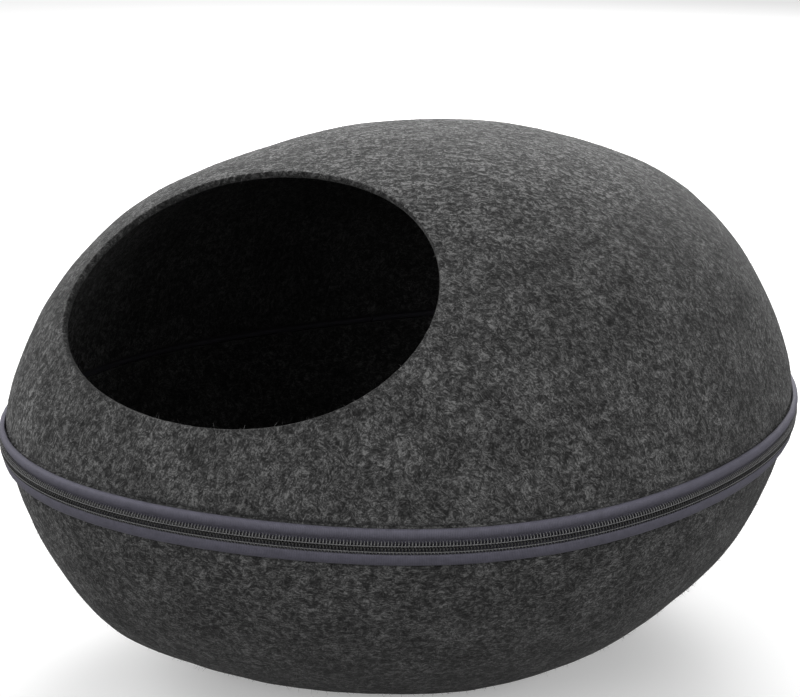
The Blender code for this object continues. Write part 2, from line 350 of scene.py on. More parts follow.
def mark_painted_shade(made, vertices):
    """Marks the vertices that a shader darkens as painted shade: the inside, and the felt's cut
    edge.
    """
    marked = made.data.attributes.new("inside", "FLOAT", "POINT")
    share = np.zeros(len(made.data.vertices), dtype=np.float32)
    share[list(vertices)] = 1.0
    marked.data.foreach_set("value", share)


def finish_piece(made, slot, *replaced):
    """Lets a piece ride with the bed, and hides the solids that it takes the place of."""
    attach(made, "root")
    if replaced:
        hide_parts(*replaced)
    return made


# Shader building


class NodeSheet:
    """Places and joins the nodes of a shader or geometry tree in short lines."""

    def __init__(self, tree):
        self.tree = tree
        self.count = 0

    def fill(self, node, values):
        """Gives a node's inputs their values; a socket among them is linked."""
        for key, value in values.items():
            if isinstance(value, bpy.types.NodeSocket):
                self.tree.links.new(value, node.inputs[key])
            else:
                node.inputs[key].default_value = value
        return node

    def add(self, kind, values=None, **options):
        """Adds a node with its options and values."""
        node = self.tree.nodes.new(kind)
        node.location = (220 * (self.count % 8), -260 * (self.count // 8))
        self.count += 1
        for key, value in options.items():
            setattr(node, key, value)
        return self.fill(node, values or {})

    def math(self, operation, *values):
        """One step of arithmetic."""
        return self.add("ShaderNodeMath", dict(enumerate(values)), operation=operation).outputs[0]

    def times(self, first, second):
        """Two values multiplied."""
        return self.math("MULTIPLY", first, second)

    def vector(self, operation, first, second):
        """One step of vector arithmetic."""
        key = "Scale" if operation == "SCALE" else 1
        node = self.add("ShaderNodeVectorMath", {0: first, key: second}, operation=operation)
        return node.outputs["Value" if operation == "DOT_PRODUCT" else 0]

    def combine(self, x, y, z):
        """A vector of three values."""
        return self.add("ShaderNodeCombineXYZ", {0: x, 1: y, 2: z}).outputs[0]

    def noise(self, place, scale, detail=0.0, roughness=0.5):
        """The value and the colour of a noise texture; scale is in cells per metre."""
        values = {"Vector": place, "Scale": scale, "Detail": detail, "Roughness": roughness}
        return self.add("ShaderNodeTexNoise", values).outputs

    def spread(self, value, low, high, out_low=0.0, out_high=1.0):
        """Spreads a value's range over another, with soft ends."""
        keys = ("Value", "From Min", "From Max", "To Min", "To Max")
        values = dict(zip(keys, (value, low, high, out_low, out_high)))
        return self.add("ShaderNodeMapRange", values, interpolation_type="SMOOTHSTEP").outputs[0]

    def blend(self, factor, first, second, mode="MIX"):
        """Mixes two colours."""
        values = {0: factor, 6: first, 7: second}
        return self.add("ShaderNodeMix", values, data_type="RGBA", blend_type=mode).outputs[2]

    def bump(self, height, strength, distance):
        """Fine relief that is too small for the mesh."""
        values = {"Strength": strength, "Distance": distance, "Height": height}
        return self.add("ShaderNodeBump", values).outputs[0]

    def toned(self, colour, tone, painted_shade_tone):
        """A colour times a tone, and darker again as painted shade where a piece is marked as
        inside.
        """
        inside = self.add("ShaderNodeAttribute", attribute_name="inside").outputs["Fac"]
        tone = self.times(tone, self.math("MULTIPLY_ADD", inside, painted_shade_tone - 1.0, 1.0))
        grey = self.add("ShaderNodeCombineColor", {0: tone, 1: tone, 2: tone}).outputs[0]
        return self.blend(1.0, colour, grey, "MULTIPLY")


def new_group(name, inputs, outputs, kind="ShaderNodeTree"):
    """An empty group with named sockets, its sheet, its inputs and its output node."""
    group = bpy.data.node_groups.new(name, kind)
    for socket, socket_kind, value in inputs:
        made = group.interface.new_socket(name=socket, in_out="INPUT", socket_type=socket_kind)
        if value is not None:
            made.default_value = value
    for socket, socket_kind in outputs:
        group.interface.new_socket(name=socket, in_out="OUTPUT", socket_type=socket_kind)
    sheet = NodeSheet(group)
    return sheet, sheet.add("NodeGroupInput").outputs, sheet.add("NodeGroupOutput")


def made_once(store, name):
    """Makes a material or node group the first time, and then hands back the same one."""

    def wrap(make):
        return lambda: getattr(bpy.data, store).get(name) or make(name)

    return wrap


def new_material(name):
    """A material with a Principled shader, its sheet and that shader."""
    made = bpy.data.materials.new(name)
    made.use_nodes = True
    made.node_tree.nodes.clear()
    sheet = NodeSheet(made.node_tree)
    shader = sheet.add("ShaderNodeBsdfPrincipled")
    sheet.add("ShaderNodeOutputMaterial", {"Surface": shader.outputs[0]})
    return made, sheet, shader


def rgba(colour, times=1.0):
    """A colour with its alpha, made lighter or darker."""
    return (*(min(1.0, part * times) for part in colour), 1.0)


def grained_material(name, cells, detail, ends, colours, finish, rough=None, bump=0.0):
    """A material that wanders between two colours, and in its roughness, with a fine grain."""
    found = bpy.data.materials.get(name)
    if found:
        return found
    made, sheet, shader = new_material(name)
    place = sheet.add("ShaderNodeTexCoord").outputs["Object"]
    grain = sheet.noise(place, cells, detail)[0]
    sheet.fill(shader, {"Base Color": sheet.blend(sheet.spread(grain, *ends), *colours), **finish})
    if rough:
        sheet.fill(shader, {"Roughness": sheet.spread(grain, 0.3, 0.7, *rough)})
    if bump:
        sheet.fill(shader, {"Normal": sheet.bump(grain, bump, 0.05 * MM)})
    return made


# The felt's look

# Where the streaks of the felt run: their direction, and the ends between which they grow strong,
# first along WIDE_WAY and then in height
STREAKS = (
    ((0.54, -0.51, -0.66), (-0.05, 0.12), (0.12, 0.17)),
    ((0.91, -0.41, 0.05), (-0.9, -0.8), (0.165, 0.125)),
    ((-0.25, 0.30, -0.92), (0.02, -0.12), (0.12, 0.17)),
    ((0.85, 0.10, -0.52), (-0.9, -0.8), (0.20, 0.27)),
)
WIDE_WAY = (0.911, -0.413, 0.0)
STEEP_WAY = (-0.25, 0.30, -0.92)
THIN_WAYS = ((0.35, 0.75, -0.55), (0.8, -0.5, 0.35))
THIN_LENGTH, THIN_WIDTH = 8.0 * MM, 1.4 * MM

# Painted shade: how light the felt is made on its cut edge and inside, against its outer face
FELT_INSIDE_PAINTED_SHADE = 0.5


def fibre_layer(sheet, place, way, length, width):
    """Streaks along one direction, as a noise that is stretched that way."""
    along = unit(np.array(way))
    across = unit(np.cross(along, np.array([0.3, 0.5, 0.81])))
    parts = []
    for axis, size in ((along, length), (across, width), (np.cross(along, across), width)):
        parts.append(sheet.math("DIVIDE", sheet.vector("DOT_PRODUCT", place, tuple(axis)), size))
    return sheet.noise(sheet.combine(*parts), 1.0, detail=1.0)[0]


def coarse_streaks(sheet, place, wide, high):
    """Coarser streaks near the crown, the ends and the foot, added to the finer ones."""
    ends = sheet.spread(sheet.math("ABSOLUTE", wide), 0.17, 0.24)
    crown = sheet.spread(high, 0.265, 0.302)
    foot = sheet.spread(high, 0.06, 0.01)
    mask = sheet.math("MAXIMUM", ends, sheet.math("MAXIMUM", crown, foot))
    level = fibre_layer(sheet, place, WIDE_WAY, 8.5 * MM, 2.0 * MM)
    upright = fibre_layer(sheet, place, STEEP_WAY, 7.5 * MM, 1.9 * MM)
    return sheet.times(sheet.math("SUBTRACT", sheet.math("ADD", level, upright), 1.0), mask)


@made_once("node_groups", "matted_fibres")
def fibre_group(name):
    """Matted wool: streaks that run with the shell, pale fibres and clouds of light and dark."""
    sheet, given, out = new_group(
        name,
        [
            ("Vector", "NodeSocketVector", None),
            ("Fibre Length", "NodeSocketFloat", 4.5 * MM),
            ("Fibre Width", "NodeSocketFloat", 0.95 * MM),
        ],
        [(socket, "NodeSocketFloat") for socket in ("Shade", "Fibre", "Mottle", "Height")],
    )
    place, length, width = given["Vector"], given["Fibre Length"], given["Fibre Width"]
    wander = sheet.vector("SUBTRACT", sheet.noise(place, 130.0, detail=2.0)[1], (0.5, 0.5, 0.5))
    bent = sheet.vector("ADD", place, sheet.vector("SCALE", wander, 7.0 * MM))
    patches = sheet.add("ShaderNodeSeparateColor", {0: sheet.noise(place, 60.0)[1]}).outputs
    more = sheet.noise(sheet.vector("ADD", place, (0.3, 0.1, 0.2)), 60.0)[0]
    wide = sheet.vector("DOT_PRODUCT", place, WIDE_WAY)
    high = sheet.add("ShaderNodeSeparateXYZ", {0: place}).outputs[2]
    total, power = 0.0, 0.0
    for (way, across, heights), patch in zip(STREAKS, (*patches, more)):
        layer = fibre_layer(sheet, bent, way, length, width)
        here = sheet.times(sheet.spread(wide, *across), sheet.spread(high, *heights))
        patch = sheet.spread(patch, 0.42, 0.60, 0.05, 0.55)
        weight = sheet.math("MULTIPLY_ADD", here, 0.8, patch)
        total = sheet.math("MULTIPLY_ADD", sheet.math("SUBTRACT", layer, 0.5), weight, total)
        power = sheet.math("MULTIPLY_ADD", weight, weight, power)
    shade = sheet.math("DIVIDE", total, sheet.math("SQRT", power))
    clumps = sheet.noise(bent, 260.0, detail=2.0, roughness=0.6)[0]
    grain = sheet.noise(place, 1100.0, detail=1.0)[0]
    for layer, share in ((clumps, 0.55), (grain, 0.45)):
        shade = sheet.math("MULTIPLY_ADD", sheet.math("SUBTRACT", layer, 0.5), share, shade)
    shade = sheet.math("ADD", shade, 0.5)
    fibre = 0.0
    for way in THIN_WAYS:
        layer = fibre_layer(sheet, bent, way, THIN_LENGTH, THIN_WIDTH)
        line = sheet.math("ABSOLUTE", sheet.math("SUBTRACT", layer, 0.5))
        fibre = sheet.math("MAXIMUM", sheet.spread(line, 0.032, 0.0), fibre)
    fibre = sheet.times(fibre, sheet.spread(clumps, 0.42, 0.60))
    shade = sheet.math("ADD", shade, coarse_streaks(sheet, bent, wide, high))
    results = {
        "Shade": shade,
        "Fibre": fibre,
        "Mottle": sheet.noise(bent, 42.0, detail=3.0, roughness=0.6)[0],
        "Height": sheet.math("MULTIPLY_ADD", fibre, 0.2, shade),
    }
    sheet.fill(out, results)
    return sheet.tree


def felt_material(name, brightness, contrast):
    """Mottled pressed felt, as light and as strongly mottled as asked."""
    values = settings()
    made, sheet, shader = new_material(name)
    inputs = {
        "Vector": sheet.add("ShaderNodeTexCoord").outputs["Object"],
        "Fibre Length": values.fibre_length,
        "Fibre Width": values.fibre_width,
    }
    fibres = sheet.add("ShaderNodeGroup", inputs, node_tree=fibre_group()).outputs
    dark = rgba(values.felt_dark, brightness / contrast)
    middle = rgba(values.felt_middle, brightness)
    light = rgba(values.felt_light, brightness * contrast)
    shade = fibres["Shade"]
    low_half = sheet.blend(sheet.spread(shade, 0.24, 0.54), dark, middle)
    both = sheet.blend(sheet.spread(shade, 0.48, 0.86), low_half, light)
    lined = sheet.blend(sheet.times(fibres["Fibre"], 0.75), both, light)
    tone = sheet.spread(fibres["Mottle"], 0.30, 0.70, 0.76, 1.26)
    finish = {
        # painted shade on the inside and the cut edge
        "Base Color": sheet.toned(lined, tone, FELT_INSIDE_PAINTED_SHADE),
        "Roughness": sheet.spread(shade, 0.3, 0.7, 1.0, 0.86),
        "Normal": sheet.bump(fibres["Height"], 0.5, 0.8 * MM),
        "Specular IOR Level": 0.18,
        "Sheen Weight": 0.10,
        "Sheen Roughness": 0.5,
        "Sheen Tint": (0.85, 0.85, 0.85, 1.0),
    }
    sheet.fill(shader, finish)
    return made


# Felt shells

UPPER_COLUMNS, UPPER_ROWS = 400, 84
RIM_STEPS = tuple(step * MM for step in (0.5, 1.1, 2.2, 4.0, 7.0))
RIM_PROFILE = ((0.10, -0.12), (0.30, 0.02), (0.50, 0.06), (0.70, 0.02), (0.90, -0.12))
RIM_NEARNESS = 18.0 * MM
SEAM_RISES = tuple(rise * MM for rise in (20.0, 16.5, 14.0, 12.7, 11.9, 11.3, 10.8, 9.8, 6.0, 3.0))
SEAM_GROOVE, SEAM_GROOVE_RISE = 1.6 * MM, 11.15 * MM
SEAM_GROOVE_WIDTH = 0.75 * MM
SEAM_CALM = 26.0 * MM
LOWER_COLUMNS, LOWER_ROWS, BASE_ROWS = 400, 58, 10
LOWER_DROPS = (-1.0, -0.1, 0.5, 1.2, 2.2, 3.8, 6.5, 10.0)
BASE_ROUNDING_FROM, BASE_ROUNDING_TO = 6.5 * MM, 9.0 * MM
BASE_REACH = 80.0 * MM
BASE_CALM = 14.0 * MM
DOME_SEED, BOWL_SEED, RIM_SEED, TAPE_SEED = 11, 57, 31, 71

# Where the photographed felt is fuller than a plain egg, in millimetres: (place, swell, spread)
SWELLS = (
    ((-4.0, 68.0, 309.5), 2.9, 45.0),
    ((160.0, 1.0, 277.0), 3.3, 38.0),
    ((-150.0, 83.0, 267.0), 2.0, 36.0),
    ((-193.4, -7.9, 48.0), 4.0, 36.0),
)


def uneven(points, normals, seam_distance, seed):
    """Moves points in and out a little as hand-formed felt does, less towards the seam."""
    wide = soft_noise(points, 95.0 * MM, seed)
    narrow = soft_noise(points, 21.0 * MM, seed + 1)
    shift = settings().unevenness * (wide + 0.22 * narrow)
    for place, swell, spread in SWELLS:
        away = np.linalg.norm(points - np.array(place) * MM, axis=-1)
        shift = shift + swell * MM * bell(away, 0.0, spread * MM)
    calm = np.clip(seam_distance / SEAM_CALM, 0.0, 1.0) ** 1.5
    return points + normals * (shift * calm)[..., None]


def entrance_rays():
    """The middle direction of the entrance, and the directions round it for each column."""
    centre, out, across, upward = entrance_axes()
    reach = halve(np.zeros(1), np.full(1, 0.5), lambda r: is_outside(centre + out * r[..., None]))
    middle = unit(centre + out * reach[0] - MIDDLE)
    across = unit(across - middle * np.dot(across, middle))
    upward = np.cross(middle, across) * np.sign(np.dot(np.cross(middle, across), upward))
    turn = np.arange(UPPER_COLUMNS) * FULL_TURN / UPPER_COLUMNS
    return middle, across * np.cos(turn)[:, None] + upward * np.sin(turn)[:, None]


def oval_distance(points):
    """The square of how far out points lie from the entrance's middle line; it is 1 on the cut."""
    centre, _, across, upward = entrance_axes()
    offset = points - centre
    wide = offset @ across / ENTRANCE_HALF_WIDTH
    return wide**2 + (offset @ upward / ENTRANCE_HALF_HEIGHT) ** 2


def upper_rows():
    """The entrance's rim, rows of the dome's outer face down to the zip, and seam distances."""
    middle, spokes = entrance_rays()

    def at(tilt):
        return shell_points(middle * np.cos(tilt)[:, None] + spokes * np.sin(tilt)[:, None])

    def below(rise):
        def test(tilt):
            points = at(tilt)
            return points[:, 2] < zip_line(plan_angle(points)) + rise

        return test

    none = np.zeros(UPPER_COLUMNS)
    rim = halve(none, none + 1.5, lambda tilt: oval_distance(at(tilt)) > 1.0)
    seam = [halve(rim, none + 3.05, below(rise)) for rise in SEAM_RISES]
    size = np.linalg.norm(at(rim) - MIDDLE, axis=-1)
    rows = [rim + step / size for step in RIM_STEPS]
    start = rows[-1]
    for step in range(1, UPPER_ROWS):
        share = step / UPPER_ROWS
        rows.append(start * (1.0 - share) + seam[0] * share)
    points = np.stack([at(tilt) for tilt in rows + seam])
    return at(rim), points, points[..., 2] - zip_line(plan_angle(points))


def make_upper_felt():
    """The dome: both faces, the plain cut edge of the entrance and the edge at the zip."""
    out = entrance_axes()[1]
    rim, outer, distance = upper_rows()
    normals = grid_normals(outer)
    rim_normal = normals[0]
    from_rim = np.linalg.norm(outer - rim[None], axis=-1)
    slope = np.sum(rim_normal * out, axis=-1, keepdims=True)
    cut_way = 0.8 * rim_normal + 0.2 * out / np.maximum(slope, 0.25)
    nearness = np.clip(1.0 - from_rim / RIM_NEARNESS, 0.0, 1.0)[..., None] ** 2
    inward = normals * (1.0 - nearness) + cut_way[None] * nearness
    groove = SEAM_GROOVE * bell(distance, SEAM_GROOVE_RISE, SEAM_GROOVE_WIDTH)
    face = uneven(outer, normals, distance, DOME_SEED)
    inner = face - inward * FELT
    face = face - normals * groove[..., None]
    rim_face = uneven(rim, rim_normal, distance[0], DOME_SEED)
    rim_back = rim_face - cut_way * FELT
    opening = unit(rim - face[3])
    rough = soft_noise(rim, 5.0 * MM, RIM_SEED)[:, None] * 0.10 * MM
    profile = []
    for depth, bulge in RIM_PROFILE:
        line = rim_face * (1.0 - depth) + rim_back * depth
        profile.append(line + opening * (bulge * MM * 2.5 + rough))
    rows = np.concatenate([inner[::-1], np.stack(profile)[::-1], face])
    faces = closed_row_faces(len(rows), UPPER_COLUMNS)
    faces += band_faces((len(rows) - 1) * UPPER_COLUMNS, 0, UPPER_COLUMNS)
    felt = felt_material("felt_dome", 0.98, 1.08)
    made = face_out(make_mesh_object("felt_dome", rows, faces, felt))
    # The inside and the entrance's cut edge get painted shade
    mark_painted_shade(made, range((len(inner) + len(profile)) * UPPER_COLUMNS))
    return made


def lower_rows():
    """Rows of the bowl's outer face from the zip to its flat base, their distances, the centre."""
    angle = np.arange(LOWER_COLUMNS) * FULL_TURN / LOWER_COLUMNS
    edge = zip_line(angle)
    reach = LOWER_TAPE_REACH
    drops = [FELT_SETBACK, 0.6 * reach, *(reach + extra * MM for extra in LOWER_DROPS)]
    rows = [wall_points(angle, edge - drop) for drop in drops]
    start = (edge - drops[-1]) / BOWL_DEPTH
    high = np.arcsin(np.clip(WIDEST_HEIGHT / BOWL_DEPTH - start, -1.0, 1.0))
    low = math.asin((WIDEST_HEIGHT - BASE_ROUNDING_FROM) / BOWL_DEPTH)
    for step in range(1, LOWER_ROWS + 1):
        turn = high + (low - high) * step / LOWER_ROWS
        rows.append(wall_points(angle, WIDEST_HEIGHT - BOWL_DEPTH * np.sin(turn)))
    corner = wall_points(angle, 0.0 * angle)
    centre = corner.mean(axis=0)
    inward = centre + (corner - centre) * (1.0 - BASE_ROUNDING_TO / BASE_REACH)
    wall = rows[-1]
    for step in range(1, 7):
        share = step / 6.0
        rest = 1.0 - share
        rows.append(wall * rest**2 + corner * 2.0 * share * rest + inward * share**2)
    for step in range(1, BASE_ROWS):
        rows.append(centre + (inward - centre) * (1.0 - step / BASE_ROWS))
    points = np.stack(rows)
    return points, edge[None] - reach - points[..., 2], centre


def make_lower_felt():
    """The bowl: outer face, inner face and the edge at the zip, pressed flat where it stands."""
    outer, distance, centre = lower_rows()
    flat = np.clip(outer[..., 2] / BASE_CALM, 0.0, 1.0)
    is_base = outer[..., 2:] < 1e-6
    normals = np.where(is_base, np.array([0.0, 0.0, -1.0]), grid_normals(outer))
    groove = SEAM_GROOVE * bell(distance, 0.5 * MM, SEAM_GROOVE_WIDTH)
    face = uneven(outer, normals, np.maximum(distance, 0.0), BOWL_SEED)
    face = outer + (face - outer) * flat[..., None]
    inner = face - normals * FELT
    face = face - normals * groove[..., None]
    rows = np.concatenate([face[::-1], inner])
    faces = closed_row_faces(len(rows), LOWER_COLUMNS)
    total = len(rows) * LOWER_COLUMNS
    last = total - LOWER_COLUMNS
    middles = [centre, centre + np.array([0.0, 0.0, FELT])]
    points = np.concatenate([rows.reshape(-1, 3), middles])
    for here in range(LOWER_COLUMNS):
        after = (here + 1) % LOWER_COLUMNS
        faces.append((after, here, total))
        faces.append((last + here, last + after, total + 1))
    # The bowl's felt is made darker than the dome's: painted shade for its lower, downward-facing
    # side
    felt = felt_material("felt_bowl", 0.86, 1.17)
    made = face_out(make_mesh_object("felt_bowl", points, faces, felt))
    # The inner face gets painted shade
    mark_painted_shade(made, [*range(len(face) * LOWER_COLUMNS, total), total + 1])
    return made


class CATBED_OT_upper_felt(bpy.types.Operator):
    """Makes the felt dome with its oval entrance"""

    bl_idname = "catbed.upper_felt"
    bl_label = "Felt dome"

    def execute(self, context):
        dome = finish_piece(make_upper_felt(), "felt", "upper_shell")
        return {"FINISHED"}


class CATBED_OT_lower_felt(bpy.types.Operator):
    """Makes the felt bowl with its flat base"""

    bl_idname = "catbed.lower_felt"
    bl_label = "Felt bowl"

    def execute(self, context):
        bowl = finish_piece(make_lower_felt(), "felt", "lower_shell")
        return {"FINISHED"}


# Zip tapes

TAPE_STEPS = 1080
TAPE_SHEET = 0.8 * MM
PUCKER, PUCKER_LENGTH = 0.16 * MM, 16.0 * MM
RIB_PITCH, THREAD_PITCH = 0.9, 0.62
# A painted highlight towards the tape's sewn edge: where it starts and ends across the tape in
# millimetres, and its gain
EDGE_HIGHLIGHT_FROM, EDGE_HIGHLIGHT_TO, EDGE_HIGHLIGHT_GAIN = 10.0, 11.8, 1.22
# Painted shade on the tape's inner side: how light it is made against its outer side
TAPE_INSIDE_PAINTED_SHADE = 0.25

# Each tape's section from the teeth to its sewn edge, in millimetres: (proud, rise)
UPPER_TAPE_SECTION = (
    (1.50, 0.05), (1.50, 3.90), (1.75, 4.35), (2.35, 4.90), (3.05, 5.70), (3.65, 6.65),
    (4.00, 7.70), (3.95, 8.80), (3.50, 9.70), (2.60, 10.35), (1.40, 10.60),
)
LOWER_TAPE_SECTION = (
    (1.50, 0.05), (1.50, 2.40), (1.90, 3.00), (2.90, 3.25), (3.50, 3.70), (3.75, 4.60),
    (3.80, 6.00), (3.65, 7.70), (3.30, 9.10), (2.60, 10.30), (1.35, 11.10),
)


def zip_angles(steps):
    """Plan angles from one end of the zip round to the other."""
    first = ZIP_END_ANGLE + ZIP_END_GAP
    last = ZIP_END_ANGLE - ZIP_END_GAP + FULL_TURN
    return np.linspace(first, last, steps + 1)


def tape_grid(section, side, angle):
    """Points of a tape's outer and inner faces: one closed section for each angle."""
    outer, inner = [], []
    for proud, rise in section:
        rise = rise * MM
        swing = np.clip((rise - 3.5 * MM) / (4.0 * MM), 0.0, 1.0)
        place = np.stack([angle * MEAN_RADIUS, 0.0 * angle, 0.0 * angle + 1.5 * rise], -1)
        pucker = PUCKER * swing * soft_noise(place, PUCKER_LENGTH, TAPE_SEED)
        height = zip_line(angle) + side * rise
        outer.append(wall_points(angle, height, proud * MM + pucker))
        inner.append(wall_points(angle, height, proud * MM + pucker - TAPE_SHEET))
    return np.stack(outer + inner[::-1], axis=1)


def tape_mesh(name, grid, run, across):
    """A closed tape of outer and inner faces, with its own map in millimetres along and across."""
    rows, columns = grid.shape[:2]
    faces = closed_row_faces(rows, columns) + end_faces(rows, columns)
    made = face_out(make_mesh_object(name, grid, faces, tape_material()))
    across = np.concatenate([across, across[::-1]])
    layer = made.data.uv_layers.new(name="tape_map")
    corner = np.zeros(len(made.data.loops), dtype=np.int64)
    made.data.loops.foreach_get("vertex_index", corner)
    place = np.stack([run[corner // columns], across[corner % columns]], axis=-1)
    layer.data.foreach_set("uv", (place / MM).astype(np.float32).ravel())
    return made


def make_tape(name, section, side):
    """One tape, from under the teeth over its roll to its sewn edge, and its length."""
    grid = tape_grid(section, side, zip_angles(TAPE_STEPS))
    rows, columns = grid.shape[:2]
    run = running_length(grid[:, 5])
    made = tape_mesh(name, grid, run, running_length(grid[0, : columns // 2]))
    # The tape's inner side gets painted shade
    behind = range(columns // 2 + 2, columns)
    mark_painted_shade(made, [row * columns + column for row in range(rows) for column in behind])
    return made, float(run[-1])


@made_once("node_groups", "tape_weave")
def weave_group(name):
    """Fine ribs across a woven tape, with its lengthwise threads between them."""
    sheet, given, out = new_group(
        name,
        [("Vector", "NodeSocketVector", None), ("Rib Pitch", "NodeSocketFloat", RIB_PITCH)],
        [("Rib", "NodeSocketFloat"), ("Thread", "NodeSocketFloat"), ("Wear", "NodeSocketFloat")],
    )
    parts = sheet.add("ShaderNodeSeparateXYZ", {0: given["Vector"]}).outputs
    jitter = sheet.noise(given["Vector"], 0.9, detail=1.0)[0]
    run = sheet.math("ADD", parts[0], sheet.times(jitter, 0.5))
    turn = sheet.times(sheet.math("DIVIDE", run, given["Rib Pitch"]), FULL_TURN)
    cross = sheet.times(parts[1], FULL_TURN / THREAD_PITCH)
    shifted = sheet.math("ADD", cross, sheet.times(turn, 0.5))
    results = {
        "Rib": sheet.math("MULTIPLY_ADD", sheet.math("SINE", turn), 0.5, 0.5),
        "Thread": sheet.math("MULTIPLY_ADD", sheet.math("SINE", shifted), 0.5, 0.5),
        "Wear": sheet.noise(given["Vector"], 0.22, detail=3.0, roughness=0.6)[0],
    }
    sheet.fill(out, results)
    return sheet.tree


@made_once("materials", "woven_tape")
def tape_material(name):
    """Woven polyester tape, with a painted highlight along its sewn edge and painted shade on its
    inner side.
    """
    colour = settings().tape_colour
    made, sheet, shader = new_material(name)
    place = sheet.add("ShaderNodeUVMap", uv_map="tape_map").outputs[0]
    weave = sheet.add("ShaderNodeGroup", {"Vector": place}, node_tree=weave_group()).outputs
    relief = sheet.math("MULTIPLY_ADD", weave["Thread"], 0.35, weave["Rib"])
    woven = sheet.blend(sheet.spread(relief, 0.1, 1.25), rgba(colour, 0.86), rgba(colour, 1.18))
    across = sheet.add("ShaderNodeSeparateXYZ", {0: place}).outputs[1]
    # Painted highlight: the tape is made lighter from 10 mm across onwards, towards its sewn edge
    edge = sheet.spread(across, EDGE_HIGHLIGHT_FROM, EDGE_HIGHLIGHT_TO, 1.0, EDGE_HIGHLIGHT_GAIN)
    tone = sheet.times(sheet.spread(weave["Wear"], 0.3, 0.7, 0.88, 1.12), edge)
    finish = {
        "Base Color": sheet.toned(woven, tone, TAPE_INSIDE_PAINTED_SHADE),
        "Roughness": sheet.spread(weave["Wear"], 0.3, 0.7, 0.62, 0.76),
        "Normal": sheet.bump(relief, 0.5, 0.12 * MM),
        "Specular IOR Level": 0.35,
        "Sheen Weight": 0.05,
        "Sheen Roughness": 0.4,
    }
    sheet.fill(shader, finish)
    return made


class CATBED_OT_zip_tapes(bpy.types.Operator):
    """Makes the two woven tapes of the zip"""

    bl_idname = "catbed.zip_tapes"
    bl_label = "Zip tapes"

    def execute(self, context):
        upper, length = make_tape("tape_over_teeth", UPPER_TAPE_SECTION, 1.0)
        finish_piece(upper, "zip_tape", "zip_tape_upper")
        lower, length = make_tape("tape_under_teeth", LOWER_TAPE_SECTION, -1.0)
        finish_piece(lower, "zip_tape", "zip_tape_lower")
        return {"FINISHED"}


# Teeth and threads, set along the zip by geometry nodes

TOOTH_RADIUS = 0.33 * MM
TOOTH_PROUD = 3.15 * MM
TOOTH_POINTS = 14
THREAD_RADIUS = 0.26 * MM
THREAD_RISE = 1.75 * MM
THREAD_PROUD = 4.08 * MM
LEG_LOW, LEG_HIGH = 1.75 * MM, 4.05 * MM
PATH_STEPS = 1440
COIL_SIDES = 5
TOOTH_WOBBLE, TOOTH_SEED = 0.035, 5
THREAD_WOBBLE, THREAD_SEED = 0.03, 9


def tube_mesh(name, path, radii, sides, closed):
    """A tube along a path of points, as a mesh that other objects are repeated from."""
    path = np.asarray(path, dtype=float)
    count = len(path)
    if closed:
        ahead = np.roll(path, -1, axis=0) - np.roll(path, 1, axis=0)
    else:
        ahead = np.gradient(path, axis=0)
    ahead = unit(ahead)
    side = unit(np.cross(ahead, np.array([0.9, 0.15, 0.4])))
    up = np.cross(ahead, side)
    turn = (np.arange(sides) * FULL_TURN / sides)[None, :, None]
    ring = side[:, None] * np.cos(turn) + up[:, None] * np.sin(turn)
    points = path[:, None] + ring * np.asarray(radii)[:, None, None]
    faces = closed_row_faces(count, sides)
    faces += band_faces((count - 1) * sides, 0, sides) if closed else end_faces(count, sides)
    return face_out(make_mesh_object(name, points, faces, None))


def tooth_path(side):
    """One turn of the coil: (along, inward, up) points round a flat loop with a wide head."""
    points, radii = [], []
    for step in range(TOOTH_POINTS):
        turn = FULL_TURN * step / TOOTH_POINTS
        up = 1.45 - 1.80 * math.cos(turn)
        depth = 0.72 * math.sin(turn) * (1.0 + 0.25 * math.cos(turn))
        points.append((0.28 * math.sin(turn) * MM, depth * MM, up * MM * side))
        radii.append(TOOTH_RADIUS * (1.0 + 0.30 * max(0.0, math.cos(turn)) ** 3))
    return points, radii


def stitch_path(length):
    """One stitch that bows a little outward over the teeth."""
    points = []
    for share in np.linspace(0.0, 1.0, 6):
        lift = -0.12 * MM * math.sin(math.pi * share)
        points.append(((share - 0.5) * length, lift, 0.05 * MM * (share - 0.5)))
    return points, [THREAD_RADIUS * size for size in (0.45, 0.95, 1.0, 1.0, 0.95, 0.45)]


def leg_path(side):
    """A thread that runs from a stitch down between two teeth into the tape."""
    points = []
    for share in np.linspace(0.0, 1.0, 6):
        rise = LEG_LOW + (LEG_HIGH - LEG_LOW) * share - THREAD_RISE
        sink = (0.15 + 1.75 * share**2) * MM
        points.append((0.12 * MM * math.sin(math.pi * share), sink, side * rise))
    return points, [THREAD_RADIUS * size for size in (0.7, 1.0, 1.0, 0.95, 0.85, 0.6)]


def zip_path(rise, proud):
    """The line that teeth or stitches follow, as edges only."""
    angle = zip_angles(PATH_STEPS)
    mesh = bpy.data.meshes.new("zip_path")
    points = wall_points(angle, zip_line(angle) + rise, proud)
    mesh.from_pydata(points.tolist(), [(k, k + 1) for k in range(PATH_STEPS)], [])
    return link_object("zip_path", mesh)


def set_copies(sheet, given, out, points, heading, low, high, **extra):
    """Sets copies of the given piece on points, each turned its own way, and makes them real."""
    ends = {0: sheet.combine(*low), 1: sheet.combine(*high), "Seed": given["Seed"]}
    turn = sheet.add("FunctionNodeRandomValue", ends, data_type="FLOAT_VECTOR").outputs[0]
    turned = sheet.add(
        "FunctionNodeRotateRotation", {0: heading, 1: turn}, rotation_space="LOCAL"
    ).outputs[0]
    info = sheet.add("GeometryNodeObjectInfo", {"Object": given["Piece"]})
    placing = {"Points": points, "Instance": info.outputs["Geometry"], "Rotation": turned, **extra}
    placed = sheet.add("GeometryNodeInstanceOnPoints", placing).outputs[0]
    real = sheet.add("GeometryNodeRealizeInstances", {"Geometry": placed}).outputs[0]
    dressing = {"Geometry": real, "Material": given["Material"]}
    sheet.fill(out, {0: sheet.add("GeometryNodeSetMaterial", dressing).outputs[0]})


